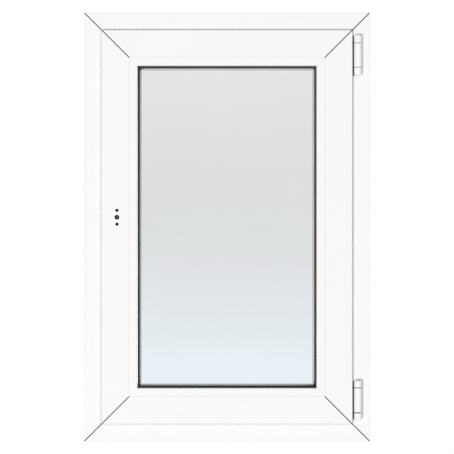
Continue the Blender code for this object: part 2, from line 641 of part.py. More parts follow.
def build_corner_drives(steel, body):
    """Corner pieces that carry the drive round both left corners."""
    inner_y = (GROOVE_Y[0] + GAP, GROOVE_Y[1] - GAP)
    deep = GROOVE_DEPTH_U - GAP
    (face, back), (low, high) = PLATE_U, PLATE_Y
    section = [(face, low), (back, low), (back, inner_y[0]), (deep, inner_y[0])]
    section += [(deep, inner_y[1]), (back, inner_y[1]), (back, high), (face, high)]
    reach = SASH_EDGE_U + CORNER_LEG
    for name, top in (("corner_drive_bottom", False), ("corner_drive_top", True)):
        side, height = ("top", HEIGHT - reach) if top else ("bottom", reach)
        stations = [cut(side, reach - HALF), corner(False, top), cut("left", height)]
        finish(name, sweep_mesh([section], stations), steel, body)


# ---- the hinges ----

def eased_barrel(low, high, low_ease, high_ease, steps=3):
    """Outer profile of a hinge knuckle, from the axis at the bottom to the axis at the top."""
    bottom = arc((BARREL - low_ease, low + low_ease), low_ease, -90, 0, steps)
    top = arc((BARREL - high_ease, high - high_ease), high_ease, 0, 90, steps)
    return [(0, low), *bottom, *top, (0, high)]


def bore(radius, low, high):
    return turned_mesh([(0, low), (radius, low), (radius, high), (0, high)], AXIS)


def link_to_frame(low, high):
    """The web that joins a knuckle to its base plate on the frame."""
    return box_mesh((LINK_X[0], LINK_Y, low), (LINK_X[1], FRAME_ROOM - GAP, high))


def strap_meshes(from_x, z_span):
    """A hinge strap: the block on the knuckle, and the thin bar through the overlap gap to the sash."""
    block = box_mesh((AXIS_X - 8.0, BARREL_LINK_Y, z_span[0]), (AXIS_X, STRAP_Y[1], z_span[1]))
    bar = box_mesh((from_x, STRAP_Y[0], z_span[0]), (AXIS_X - 4.0, STRAP_Y[1], z_span[1]))
    return block, bar


def build_corner_bearing(white, steel, sash):
    """The cup on the frame, and the ball-ended pin of the sash that turns and tilts in it."""
    low, high = BEARING_Z
    cup = finish("corner_bearing", turned_mesh(eased_barrel(low, high, 1.6, 0.4), AXIS), white)
    add(cup, link_to_frame(low + 2, high))
    wall, mouth = BALL + 0.8, BALL + 1.9
    socket = [(0, low + 1), (wall - 1.8, low + 1.2), (wall, low + 2.9), (wall, TILT_Z + 2)]
    socket += [(mouth, TILT_Z + 6), (mouth, high + 1), (0, high + 1)]
    take(cup, turned_mesh(socket, AXIS))
    neck, ease = sqrt(BALL ** 2 - PIVOT_SHAFT ** 2), 0.6
    curve = [(BALL * cos(radians(a)), TILT_Z + BALL * sin(radians(a))) for a in range(-75, 31, 15)]
    profile = [(0, TILT_Z - BALL), *curve, (PIVOT_SHAFT, TILT_Z + neck), (PIVOT_SHAFT, PIVOT_TOP - ease)]
    profile += [(PIVOT_SHAFT - ease, PIVOT_TOP), (0, PIVOT_TOP)]
    turned("corner_pivot_pin", profile, AXIS, steel, sash)


def build_corner_band(white, sash):
    """The sash half of the bottom hinge: its knuckle and cap, the strap and the edge plate."""
    low, high = BAND_Z
    band = finish("corner_band", turned_mesh(eased_barrel(low, high, 0.5, 0.5), AXIS), white, sash)
    for strap in strap_meshes(BAND_X[0], BAND_STRAP_Z):
        add(band, strap)
    plate_low = (BAND_X[0], STRAP_Y[0], BAND_PLATE_Z[0])
    add(band, box_mesh(plate_low, (BAND_X[1], BAND_PLATE_END, BAND_PLATE_Z[1])))
    take(band, bore(PIVOT_BORE, low - 1, PIVOT_TOP + 0.6))
    take(band, bore(CAP_BORE, CAP_BORE_Z, high + 1))
    cap = finish("corner_band_cap", turned_mesh(eased_barrel(*BAND_CAP_Z, 0.5, 1.6), AXIS), white, sash)
    add(cap, bore(CAP_SHAFT, CAP_BORE_Z + 0.4, BAND_CAP_Z[0] + 1))


def build_stay(white, steel, bodies):
    """The top hinge: two knuckles on the frame, the pin, the sleeve that turns on it, and the stay arm."""
    low, high = STAY_Z
    gap_low, gap_high = STAY_GAP_Z
    bearing = finish("stay_bearing", turned_mesh(eased_barrel(low, gap_low, 3.0, 0.5), AXIS), white)
    add(bearing, link_to_frame(low + 3, gap_low))
    add(bearing, box_mesh((LINK_X[0], AXIS_Y + 9.4, low + 3), (LINK_X[1], FRAME_ROOM - GAP, high - 1)))
    add(bearing, turned_mesh(eased_barrel(gap_high, high, 0.5, 1.2), AXIS))
    add(bearing, link_to_frame(gap_high, high - 1.5))
    take(bearing, bore(STAY_PIN_BORE, STAY_PIN_Z[0] - 0.4, high + 1))
    turned("stay_pin", rod_profile(STAY_PIN, *STAY_PIN_Z), AXIS, steel)
    inside, outside = SLEEVE_RADIUS
    sleeve = [(inside, SLEEVE_Z[0]), (outside, SLEEVE_Z[0]), (outside, SLEEVE_Z[1]), (inside, SLEEVE_Z[1])]
    turned("stay_bush", sleeve, AXIS, steel, bodies["turn_pivot"])

    arm = finish("stay_arm", turned_mesh(eased_barrel(*ARM_Z, 0.5, 0.5), AXIS), white, bodies["stay_arm"])
    for strap in strap_meshes(ARM_PLATE_X[0], ARM_STRAP_Z):
        add(arm, strap)
    plate_low = (ARM_PLATE_X[0], STRAP_Y[0], ARM_STRAP_Z[0])
    add(arm, box_mesh(plate_low, (ARM_PLATE_X[1], ARM_PLATE_END, STAY_ARM_Z[1])))
    arm_low = (STAY_PIN_X - ARM_END, DRIVE_Y - ARM_HALF_WIDTH, STAY_ARM_Z[0])
    add(arm, box_mesh(arm_low, (ARM_PLATE_X[1], DRIVE_Y + ARM_HALF_WIDTH, STAY_ARM_Z[1])))
    root = STAY_ARM_Z[0] + 1
    tip = [(ARM_PIN - 0.5, ARM_PIN_FOOT), (ARM_PIN, ARM_PIN_FOOT + 0.5)]
    pin = [(0, ARM_PIN_FOOT), *tip, (ARM_PIN, root), (0, root)]
    add(arm, turned_mesh(pin, (STAY_PIN_X, DRIVE_Y), "Z", CAM_SIDES))
    take(arm, bore(ARM_BORE, *STAY_GAP_Z))


def main():
    for old in list(bpy.data.objects):
        bpy.data.objects.remove(old)

    pvc = material("pvc_white", (0.93, 0.93, 0.92), 0.35)
    white = material("hinge_white", (0.90, 0.90, 0.90), 0.40)
    rubber = material("rubber_black", (0.02, 0.02, 0.02), 0.60)
    glass = material("glass_clear", (0.88, 0.92, 0.94), 0.02, transmission=1.0)
    spacer = material("spacer_aluminium", (0.70, 0.71, 0.72), 0.35, metallic=1.0)
    steel = material("steel_galvanised", (0.62, 0.64, 0.66), 0.40, metallic=1.0)
    zinc = material("zinc_cast", (0.55, 0.56, 0.58), 0.45, metallic=1.0)
    dark = material("spindle_dark", (0.06, 0.06, 0.07), 0.50, metallic=0.6)
    packer = material("packer_blue", (0.10, 0.25, 0.60), 0.55)

    pivot = axis_empty("turn_axis", AXIS_X, AXIS_Y, TILT_Z)
    sash = axis_empty("tilt_axis", AXIS_X, AXIS_Y, TILT_Z, pivot)
    bodies = {
        "turn_pivot": pivot,
        "spindle": axis_empty("spindle_axis", SPINDLE_X, DRIVE_Y, HANDLE_Z, sash),
        "rod_left": axis_empty("rod_left_axis", SPINDLE_X, DRIVE_Y, HANDLE_Z, sash),
        "rod_top": axis_empty("rod_top_axis", CAM_TOP, DRIVE_Y, HEIGHT - ROD_U[0], sash),
        "rod_bottom": axis_empty("rod_bottom_axis", CAM_TILT, DRIVE_Y, ROD_U[0], sash),
        "stay_arm": axis_empty("stay_arm_axis", AXIS_X, AXIS_Y, STAY_ARM_Z[0], pivot),
    }

    build_frame(pvc, steel, rubber)
    build_drain_caps(pvc)
    build_strikers(zinc)
    build_sash(pvc, steel, rubber, sash)
    build_glazing(pvc, rubber, glass, spacer, packer, sash)
    build_spindle(dark, bodies["spindle"])
    build_gearbox(zinc, sash)
    build_rods(steel, bodies)
    build_faceplates(steel, sash)
    build_corner_drives(steel, sash)
    build_corner_bearing(white, steel, sash)
    build_corner_band(white, sash)
    build_stay(white, steel, bodies)


main()
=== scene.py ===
"""The looks of the white tilt-and-turn casement window.

It makes the rounded profiles, mitre seams, gaskets, hinge bodies and screws, and gives each piece its
material. Near-black pieces in the mitres, the hinge gaps and the handle holes are painted shade, the room
pane carries a painted reflection, and the spindle's pip a painted glow. Lengths are in millimetres.
Sections are drawn in (u, y), where u is the distance inwards from the window's outer edge.
"""

from math import cos, pi, radians, sin, tan

import bmesh
import bpy
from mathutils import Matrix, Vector
from mathutils.geometry import tessellate_polygon


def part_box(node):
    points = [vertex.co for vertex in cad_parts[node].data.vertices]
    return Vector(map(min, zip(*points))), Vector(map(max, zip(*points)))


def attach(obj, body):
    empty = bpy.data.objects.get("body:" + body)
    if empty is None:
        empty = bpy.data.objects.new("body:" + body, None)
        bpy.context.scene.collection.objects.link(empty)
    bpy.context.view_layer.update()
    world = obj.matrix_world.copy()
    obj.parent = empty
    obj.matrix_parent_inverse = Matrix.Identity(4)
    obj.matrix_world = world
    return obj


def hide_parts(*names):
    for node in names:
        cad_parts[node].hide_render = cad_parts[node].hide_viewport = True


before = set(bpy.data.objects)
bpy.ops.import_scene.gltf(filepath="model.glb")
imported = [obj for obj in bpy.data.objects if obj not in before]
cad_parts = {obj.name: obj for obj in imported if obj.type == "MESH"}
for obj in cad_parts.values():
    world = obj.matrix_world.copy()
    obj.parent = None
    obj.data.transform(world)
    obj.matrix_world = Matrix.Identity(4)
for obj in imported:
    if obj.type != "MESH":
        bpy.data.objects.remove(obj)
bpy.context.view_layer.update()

MM = 0.001


def mm(node):
    """A CAD node's lowest and highest corners, in millimetres."""
    low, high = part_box(node)
    return Vector(low) / MM, Vector(high) / MM


# ---- driving dimensions, read from the frame ----

JAMB_LOW, JAMB_HIGH = mm("frame_jamb_right")
HALF = JAMB_HIGH.x
HEIGHT = mm("frame_head")[1].z
FRAME_ROOM, FRAME_OUT = JAMB_LOW.y, JAMB_HIGH.y
FRAME_LIP_U = HALF - JAMB_LOW.x
STILE_LOW, STILE_HIGH = mm("sash_stile_right")
SASH_ROOM, SASH_OUT = STILE_LOW.y, STILE_HIGH.y
OVERLAP_U = HALF - STILE_HIGH.x
LIP_U = HALF - STILE_LOW.x
BEAD_LOW, BEAD_HIGH = mm("bead_right")
BEAD_OUTER_U, BEAD_INNER_U = HALF - BEAD_HIGH.x, HALF - BEAD_LOW.x
BEAD_BACK = BEAD_HIGH.y
PANE_FRONT = mm("glass_pane_inner")[0].y
PANE_BACK = mm("glass_pane_outer")[1].y
GASKET_SHOWS = 4.3             # the gasket's width seen beside the bead
GASKET_U = BEAD_INNER_U + GASKET_SHOWS
NUT_LOW, NUT_HIGH = mm("spindle_nut")
SPINDLE = (NUT_LOW + NUT_HIGH) / 2
CUP_LOW, CUP_HIGH = mm("corner_bearing")
CAP_LOW, CAP_HIGH = mm("corner_band_cap")
AXIS_X = (CAP_LOW.x + CAP_HIGH.x) / 2
AXIS_Y = (CAP_LOW.y + CAP_HIGH.y) / 2
BARREL = (CAP_HIGH.x - CAP_LOW.x) / 2

REBATE_U = 45.0
SASH_EDGE_U = 57.0
BEAD_GAP = 0.12                # the fine joint between the sash and its bead
GLAZING_U = BEAD_OUTER_U - BEAD_GAP
GROOVE_Y = (-31.5, -19.5)      # the sash's hardware groove
GROOVE_BOTTOM_U = 67.0
RIM_U = LIP_U + 0.3            # the glass has neither tint nor painted reflection as far in as this
SEAM = 1.05                    # half the width of the open joint at a mitre
SEAM_DEPTH = 0.9               # the near-black plate of painted shade lies this far under the surface
FILLER_GAP = 0.08              # and this far from each side of the joint
FACETS = 64                    # sides of a hinge barrel or a handle hole
SMALL_FACETS = 32              # sides of a pin, a rivet or a screw head


# ---- materials ----

def socket(node, name):
    """A node's input."""
    return node.inputs[name]


def start_material(name):
    """A new material, its node tree, its shader, and the place on the object in metres."""
    made = bpy.data.materials.new(name)
    made.use_nodes = True
    tree = made.node_tree
    shader = tree.nodes["Principled BSDF"]
    place = tree.nodes.new("ShaderNodeTexCoord").outputs["Object"]
    return made, tree, shader, place


def noise(tree, place, scale, detail=3.0):
    """A noise value over the surface; scale is in lumps per metre."""
    node = tree.nodes.new("ShaderNodeTexNoise")
    socket(node, "Scale").default_value = scale
    socket(node, "Detail").default_value = detail
    tree.links.new(place, socket(node, "Vector"))
    return node.outputs["Fac"]


def spread(tree, value, low, high, start=0.3, stop=0.7):
    """Map a noise value to a range."""
    node = tree.nodes.new("ShaderNodeMapRange")
    socket(node, "From Min").default_value = start
    socket(node, "From Max").default_value = stop
    socket(node, "To Min").default_value = low
    socket(node, "To Max").default_value = high
    tree.links.new(value, socket(node, "Value"))
    return node.outputs["Result"]


def ramp(tree, value, stops):
    """A colour ramp; stops are (position, colour)."""
    node = tree.nodes.new("ShaderNodeValToRGB")
    points = node.color_ramp.elements
    while len(points) < len(stops):
        points.new(0.5)
    for point, (position, colour) in zip(points, stops):
        point.position = position
        point.color = (*colour, 1.0)
    tree.links.new(value, socket(node, "Fac"))
    return node.outputs["Color"]


def bump(tree, shader, value, distance, strength):
    """Let a noise value disturb the shading."""
    node = tree.nodes.new("ShaderNodeBump")
    socket(node, "Distance").default_value = distance
    socket(node, "Strength").default_value = strength
    tree.links.new(value, socket(node, "Height"))
    tree.links.new(node.outputs["Normal"], socket(shader, "Normal"))


def finish_material(name, dark, light, mottle, rough, rough_scale, grain, metallic=0.0):
    """A surface with a mottled colour, an uneven gloss and a fine grain (scale, depth, strength)."""
    made, tree, shader, place = start_material(name)
    tint = ramp(tree, noise(tree, place, mottle), [(0.3, dark), (0.7, light)])
    tree.links.new(tint, socket(shader, "Base Color"))
    gloss = spread(tree, noise(tree, place, rough_scale), *rough)
    tree.links.new(gloss, socket(shader, "Roughness"))
    socket(shader, "Metallic").default_value = metallic
    scale, depth, strength = grain
    bump(tree, shader, noise(tree, place, scale, 2.0), depth, strength)
    return made


def grey(value, warm=0.0):
    """A grey, made warmer by taking a little blue away."""
    return (value, value, value - warm)


SPANGLES = 240.0               # zinc crystals per metre
DRAWN_LINES = 2600.0           # drawing lines per metre, across the sheet
LINE_STRETCH = 0.04            # the lines are 25 times as long as they are wide
VENT_HOLES = 330.0             # holes per metre in the spacer


def galvanised(name, dark, light):
    """Zinc-plated sheet: a faint spangle in the colour and drawn lines in the gloss."""
    made, tree, shader, place = start_material(name)
    cells = tree.nodes.new("ShaderNodeTexVoronoi")
    socket(cells, "Scale").default_value = SPANGLES
    tree.links.new(place, socket(cells, "Vector"))
    tint = ramp(tree, cells.outputs["Color"], [(0.2, dark), (0.8, light)])
    tree.links.new(tint, socket(shader, "Base Color"))
    stretch = tree.nodes.new("ShaderNodeMapping")
    socket(stretch, "Scale").default_value = (1.0, 1.0, LINE_STRETCH)
    tree.links.new(place, socket(stretch, "Vector"))
    lines = noise(tree, stretch.outputs["Vector"], DRAWN_LINES, 2.0)
    tree.links.new(spread(tree, lines, 0.34, 0.48), socket(shader, "Roughness"))
    socket(shader, "Metallic").default_value = 1.0
    bump(tree, shader, lines, 0.00002, 0.4)
    return made


def spacer_aluminium(name):
    """Mill aluminium with rows of small vent holes for the drying agent."""
    made, tree, shader, place = start_material(name)
    holes = tree.nodes.new("ShaderNodeTexVoronoi")
    socket(holes, "Scale").default_value = VENT_HOLES
    socket(holes, "Randomness").default_value = 0.0
    tree.links.new(place, socket(holes, "Vector"))
    dots = [(0.12, grey(0.08)), (0.16, grey(0.72))]
    tree.links.new(ramp(tree, holes.outputs["Distance"], dots), socket(shader, "Base Color"))
    tree.links.new(spread(tree, noise(tree, place, 900.0), 0.3, 0.42), socket(shader, "Roughness"))
    socket(shader, "Metallic").default_value = 1.0
    return made


def arithmetic(tree, operation, value, limit):
    """One arithmetic node on a value and a constant or another value."""
    node = tree.nodes.new("ShaderNodeMath")
    node.operation = operation
    tree.links.new(value, node.inputs[0])
    if isinstance(limit, float):
        node.inputs[1].default_value = limit
    else:
        tree.links.new(limit, node.inputs[1])
    return node.outputs[0]


GLASS_IOR = 1.5
GLASS_ROUGHNESS = 0.02
TINT_AND_REFLECTION_WAVER = 0.012             # the bands of tint and painted reflection wander up and down by this, in metres
RIM_COLOUR = (0.99, 0.99, 0.99, 1.0)
FRONT_FACE = 0.5               # the Backfacing output is below this on the side that is seen first


def clear_edge(tree, split, tint):
    """The tint and its painted reflection, with a clear rim where the glass covers the sash's lip."""
    across = arithmetic(tree, "ABSOLUTE", split.outputs["X"], 0.0)
    across = arithmetic(tree, "GREATER_THAN", across, (HALF - RIM_U) * MM)
    up = arithmetic(tree, "SUBTRACT", split.outputs["Z"], HEIGHT / 2 * MM)
    up = arithmetic(tree, "ABSOLUTE", up, 0.0)
    up = arithmetic(tree, "GREATER_THAN", up, (HEIGHT / 2 - RIM_U) * MM)
    rim = arithmetic(tree, "MAXIMUM", across, up)
    mix = tree.nodes.new("ShaderNodeMix")
    mix.data_type = "RGBA"
    tree.links.new(rim, mix.inputs["Factor"])
    tree.links.new(tint, mix.inputs["A"])
    mix.inputs["B"].default_value = RIM_COLOUR
    return mix.outputs["Result"]


def window_glass(name, stops, body_tint):
    """Float glass: tinted see-through, with a mirror share that grows at glancing angles.

    The stops give the see-through colour by height, the glass's tint with a painted reflection that changes
    with height; without them the whole pane has the body tint, with faint streaks.
    """
    made, tree, shader, place = start_material(name)
    tree.nodes.remove(shader)
    out = tree.nodes["Material Output"]
    clear = tree.nodes.new("ShaderNodeBsdfTransparent")
    shine = tree.nodes.new("ShaderNodeBsdfGlossy")
    socket(shine, "Roughness").default_value = GLASS_ROUGHNESS
    socket(shine, "Color").default_value = (*body_tint, 1.0)
    if stops:
        split = tree.nodes.new("ShaderNodeSeparateXYZ")
        tree.links.new(place, socket(split, "Vector"))
        waver = spread(tree, noise(tree, place, 3.0, 1.0), -TINT_AND_REFLECTION_WAVER, TINT_AND_REFLECTION_WAVER)
        height = arithmetic(tree, "ADD", split.outputs["Z"], waver)
        tint = ramp(tree, height, stops)
        tree.links.new(clear_edge(tree, split, tint), socket(clear, "Color"))
    else:
        streak = [(0.3, body_tint), (0.7, tuple(min(1.0, c * 1.01) for c in body_tint))]
        tree.links.new(ramp(tree, noise(tree, place, 5.0), streak), socket(clear, "Color"))
    facing = tree.nodes.new("ShaderNodeFresnel")
    socket(facing, "IOR").default_value = GLASS_IOR
    mix = tree.nodes.new("ShaderNodeMixShader")
    behind = tree.nodes.new("ShaderNodeNewGeometry").outputs["Backfacing"]
    ahead = arithmetic(tree, "LESS_THAN", behind, FRONT_FACE)
    mirror = arithmetic(tree, "MULTIPLY", facing.outputs["Fac"], ahead)
    tree.links.new(mirror, socket(mix, "Fac"))
    tree.links.new(clear.outputs["BSDF"], mix.inputs[1])
    tree.links.new(shine.outputs["BSDF"], mix.inputs[2])
    tree.links.new(mix.outputs["Shader"], socket(out, "Surface"))
    return made


def tint_and_reflection_stops(colours):
    """Ramp stops for one face, from (height in metres, what both faces of the pane let through, with the
    painted reflection in it).
    """
    return [(height, tuple(c ** 0.5 for c in colour)) for height, colour in colours]


# The room pane's see-through colour by height: the glass's own tint with a painted reflection, darkest in the
# middle and brighter and bluer towards the bottom.
GLASS_TINT_AND_PAINTED_REFLECTION = tint_and_reflection_stops([
    (0.17, (0.847, 0.907, 0.951)),
    (0.21, (0.823, 0.874, 0.916)),
    (0.25, (0.812, 0.850, 0.896)),
    (0.29, (0.808, 0.820, 0.860)),
    (0.37, (0.778, 0.782, 0.820)),
    (0.44, (0.750, 0.773, 0.768)),
    (0.54, (0.766, 0.756, 0.763)),
    (0.64, (0.786, 0.773, 0.781)),
    (0.76, (0.819, 0.806, 0.813)),
])


# A plain surface has two colours, their lumps per metre, a range of roughness, its lumps per metre, and a
# grain: lumps per metre, depth in metres, strength.
MATERIALS = {
    "pvc": finish_material("pvc_white_satin", grey(0.878, 0.003), grey(0.888, 0.002), 9.0,
                           (0.42, 0.50), 130.0, (1500.0, 0.00004, 0.25)),
    "hinge": finish_material("hinge_powder_coat", grey(0.925), grey(0.94), 40.0, (0.34, 0.44), 700.0,
                             (2600.0, 0.00005, 0.35)),
    # black rubber of the gaskets and seals, and painted shade on the strips in the hinge gaps
    "rubber_and_painted_shade": finish_material("rubber_epdm_and_painted_shade", grey(0.010), grey(0.018), 60.0, (0.55, 0.70), 500.0,
                              (2200.0, 0.00006, 0.5)),
    # near-black painted shade: the mitre plates, washers, pins, bush and hole linings stand for the shade in
    # joints and holes
    "painted_shade": finish_material("painted_shade_near_black", grey(0.012), grey(0.020), 300.0, (0.8, 0.95), 600.0,
                            (1800.0, 0.00005, 0.4)),
    "grey_seal": finish_material("outer_gasket_grey", grey(0.20), grey(0.24), 60.0, (0.5, 0.65), 500.0,
                                 (2200.0, 0.00006, 0.4)),
    "zinc": finish_material("zinc_die_cast", grey(0.30), grey(0.36), 180.0, (0.50, 0.62), 400.0,
                            (1300.0, 0.00008, 0.5), metallic=0.6),
    # near-black metal for the spindle nut, and painted shade on the straps seen in the hinge gaps
    "dark": finish_material("near_black_metal_and_painted_shade", grey(0.020), grey(0.035), 300.0, (0.45, 0.6), 900.0,
                            (1500.0, 0.00005, 0.5), metallic=0.6),
    "pip": finish_material("spindle_pip_machined_painted_glow", grey(0.55), grey(0.68), 900.0, (0.3, 0.45), 2500.0,
                           (4000.0, 0.00002, 0.4)),
    "packer": finish_material("packer_moulded", (0.06, 0.17, 0.45), (0.08, 0.20, 0.52), 90.0,
                              (0.45, 0.6), 400.0, (1500.0, 0.00006, 0.4)),
    "steel": galvanised("steel_zinc_plated", (0.40, 0.42, 0.44), (0.48, 0.49, 0.50)),
    "spacer": spacer_aluminium("spacer_mill_aluminium"),
    "glass_inner": window_glass("glass_room_pane", GLASS_TINT_AND_PAINTED_REFLECTION, (0.98, 0.99, 0.99)),
    "glass_outer": window_glass("glass_outer_pane", None, (0.982, 0.990, 0.986)),
}

PIP_GLOW = 0.17                # stands for the light that a bright pip catches deep in its dark hole
PIP = MATERIALS["pip"].node_tree.nodes["Principled BSDF"]
socket(PIP, "Emission Color").default_value = (1, 1, 1, 1)
socket(PIP, "Emission Strength").default_value = PIP_GLOW


# ---- mesh helpers ----

HARD_EDGE = 32                 # degrees; a sharper fold stays a hard edge


def collect(name, mesh, look, body, nodes=()):
    """Turn a bmesh in world millimetres into a smooth-shaded piece that rides on a body."""
    bmesh.ops.recalc_face_normals(mesh, faces=mesh.faces)
    for vertex in mesh.verts:
        vertex.co = vertex.co * MM
    data = bpy.data.meshes.new(name)
    mesh.to_mesh(data)
    mesh.free()
    data.materials.append(MATERIALS[look])
    made = bpy.data.objects.new(name, data)
    bpy.context.collection.objects.link(made)
    shade(made)
    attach(made, body)
    if nodes:
        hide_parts(*nodes)


def shade(made):
    """Smooth shading that keeps flat faces flat and hard edges hard."""
    made.data.shade_smooth()
    made.data.set_sharp_from_angle(angle=radians(HARD_EDGE))
    even = made.modifiers.new("even_normals", "WEIGHTED_NORMAL")
    even.keep_sharp = True


def absorb(mesh, part):
    """Add one bmesh to another as it is; the part is used up."""
    data = bpy.data.meshes.new("part")
    part.to_mesh(data)
    part.free()
    mesh.from_mesh(data)
    bpy.data.meshes.remove(data)


def combined(mesh, tool, operation):
    """The exact Boolean of two bmeshes, in millimetres; both are used up."""
    things = []
    for part in (mesh, tool):
        bmesh.ops.recalc_face_normals(part, faces=part.faces)
        data = bpy.data.meshes.new("tool")
        part.to_mesh(data)
        part.free()
        thing = bpy.data.objects.new("tool", data)
        bpy.context.collection.objects.link(thing)
        things.append(thing)
    body, cutter = things
    change = body.modifiers.new("cut", "BOOLEAN")
    change.operation = operation
    change.solver = "EXACT"
    change.object = cutter
    bpy.context.view_layer.update()
    result = bmesh.new()
    result.from_object(body, bpy.context.evaluated_depsgraph_get())
    for thing in things:
        data = thing.data
        bpy.data.objects.remove(thing)
        bpy.data.meshes.remove(data)
    return result


def add(mesh, tool):
    """Two bmeshes joined into one solid."""
    return combined(mesh, tool, "UNION")


def take(mesh, tool):
    """A bmesh with the tool's volume cut away."""
    return combined(mesh, tool, "DIFFERENCE")


def rounded(points, steps=4):
    """An outline with its corners rounded; points are (u, y, radius)."""
    outline = []
    for i, (u, y, radius) in enumerate(points):
        here = Vector((u, y))
        if not radius:
            outline.append((u, y))
            continue
        back = (Vector(points[i - 1][:2]) - here).normalized()
        ahead = (Vector(points[(i + 1) % len(points)][:2]) - here).normalized()
        half = back.angle(ahead) / 2
        reach = radius / tan(half)
        centre = here + (back + ahead).normalized() * (radius / sin(half))
        first, last = here + back * reach - centre, here + ahead * reach - centre
        swing = first.angle_signed(last)
        for step in range(steps + 1):
            turn = -swing * step / steps
            outline.append((centre.x + first.x * cos(turn) - first.y * sin(turn),
                            centre.y + first.x * sin(turn) + first.y * cos(turn)))
    return outline


def inset(points, depth):
    """An outline moved inwards by a depth."""
    area = sum(a[0] * b[1] - b[0] * a[1] for a, b in zip(points, points[1:] + points[:1]))
    side = 1 if area > 0 else -1
    moved = []
    for i, (u, y) in enumerate(points):
        before = (Vector((u, y)) - Vector(points[i - 1])).normalized()
        after = (Vector(points[(i + 1) % len(points)]) - Vector((u, y))).normalized()
        first, last = Vector((-before.y, before.x)) * side, Vector((-after.y, after.x)) * side
        shift = (first + last) / (1 + first.dot(last)) * depth
        moved.append((u + shift.x, y + shift.y))
    return moved


def sweep_mesh(loops, stations, closed=False):
    """A bar whose section (an outline, then its chambers) passes through the stations in turn.

    A station is a function that puts a section's point (u, y) in its place on the window.
    """
    mesh = bmesh.new()
    rings = [[[mesh.verts.new(station(u, y)) for u, y in loop] for loop in loops] for station in stations]
    steps = len(rings) if closed else len(rings) - 1
    for step in range(steps):
        for first, second in zip(rings[step], rings[(step + 1) % len(rings)]):
            for i in range(len(first)):
                j = (i + 1) % len(first)
                mesh.faces.new((first[i], first[j], second[j], second[i]))
    if not closed:
        flat = [[Vector((u, y, 0)) for u, y in loop] for loop in loops]
        for triangle in tessellate_polygon(flat):
            for end in (rings[0], rings[-1]):
                corners = [vertex for loop in end for vertex in loop]
                mesh.faces.new([corners[i] for i in triangle])
    return mesh


def corner(right, top, inset_x=0.0, inset_z=0.0):
    """The station on the diagonal of a corner of the window."""
    def place(u, y):
        x = HALF - u - inset_x
        z = u + inset_z
        return Vector((x if right else -x, y, HEIGHT - z if top else z))
    return place


def cut(side, at):
    """The square-cut station at a height or a width along one side of the window."""
    def place(u, y):
        if side in ("left", "right"):
            return Vector((HALF - u if side == "right" else u - HALF, y, at))
        return Vector((at, y, HEIGHT - u if side == "top" else u))
    return place


def mitred_mesh(side, loops, gap):
    """One side of a mitred frame; gap is half the width of its open joints."""
    reach = gap * 2 ** 0.5
    if side in ("left", "right"):
        return sweep_mesh(loops, [corner(side == "right", top, inset_z=reach) for top in (False, True)])
    return sweep_mesh(loops, [corner(right, side == "top", inset_x=reach) for right in (False, True)])


def ring_mesh(outline):
    """A section taken once round the window."""
    around = [corner(False, False), corner(True, False), corner(True, True), corner(False, True)]
    return sweep_mesh([outline], around, closed=True)


def seam_mesh(outline, half_width):
    """Four thin near-black plates of painted shade, one in each mitre, under the surface of the profiles."""
    mesh = bmesh.new()
    shift = half_width / 2 ** 0.5
    for right in (False, True):
        for top in (False, True):
            ends = [corner(right, top, way * shift, -way * shift) for way in (-1, 1)]
            plate = sweep_mesh([outline], ends)
            bmesh.ops.recalc_face_normals(plate, faces=plate.faces)
            absorb(mesh, plate)
    return mesh


def rectangle(u_span, y_span):
    """A rectangle's outline."""
    u0, u1 = u_span
    y0, y1 = y_span
    return [(u0, y0), (u1, y0), (u1, y1), (u0, y1)]


def box_mesh(low, high, ease=0.0):
    """A box with eased edges."""
    mesh = bmesh.new()
    bmesh.ops.create_cube(mesh, size=1.0)
    for vertex in mesh.verts:
        vertex.co = Vector([low[i] if vertex.co[i] < 0 else high[i] for i in range(3)])
    if ease:
        bmesh.ops.bevel(mesh, geom=mesh.edges[:], offset=ease, segments=3, profile=0.5, affect="EDGES")
    return mesh


def turned_mesh(profile, centre, direction="Z", sides=FACETS, shift=0.0):
    """A turned piece on an axis along Y or Z; the profile is (radius, position along the axis).

    A profile that starts on the axis makes a solid, and any other makes a tube. The shift turns the facets
    by a share of one side.
    """
    mesh = bmesh.new()

    def spot(radius, along, angle):
        across, up = radius * cos(angle), radius * sin(angle)
        if direction == "Z":
            return Vector((centre[0] + across, centre[1] + up, along))
        return Vector((centre[0] + across, along, centre[1] + up))

    rows = []
    for radius, along in profile:
        if radius == 0:
            rows.append([mesh.verts.new(spot(0, along, 0))])
        else:
            angles = [2 * pi * (i + shift) / sides for i in range(sides)]
            rows.append([mesh.verts.new(spot(radius, along, angle)) for angle in angles])
    solid = len(rows[0]) == 1
    for first, second in zip(rows, rows[1:] if solid else rows[1:] + rows[:1]):
        for i in range(sides):
            j = (i + 1) % sides
            quad = [first[i % len(first)], first[j % len(first)]]
            quad += [second[j % len(second)], second[i % len(second)]]
            mesh.faces.new(list(dict.fromkeys(quad)))
    return mesh


def arc(centre, radius, start, stop, steps):
    """Points on an arc, angles in degrees."""
    turn = [radians(start + (stop - start) * i / steps) for i in range(steps + 1)]
    return [(centre[0] + radius * cos(angle), centre[1] + radius * sin(angle)) for angle in turn]


# ---- profiles ----

FRAME_LIP_Y = 24.0             # the room face of the frame's outer lip, where the frame seal sits
SEAL_GROOVE = (59.5, 62.5)
GROOVE_DEPTH = 3.0
ANCHOR_GROOVES = ((8.0, 18.0), (-22.0, -12.0))
FRAME_CHAMBERS = [
    rectangle((6, 42), (-32, -24)),
    rectangle((6, 42), (-21, 9)),
    rectangle((6, 42), (12, 32)),
    rectangle((45, 57), (27.5, 32)),
]
LEAF_BACK = -38.5              # the outdoor face of the part of the sash that lies over the frame
LEAF_GROOVE = (40.0, 43.5)     # the overlap seal's groove in it
LEAF_GROOVE_Y = -41.0
GLASS_FLOOR_Y = 3.0            # the sash's lip starts here, behind the glass unit
SASH_CHAMBERS = [
    rectangle((69.5, 92), (-47, -34.5)),
    rectangle((69.5, 92), (-32, -20.1)),
    rectangle((60, 92), (-16.5, 2)),
    rectangle((60, 115), (5, 17.5)),
]


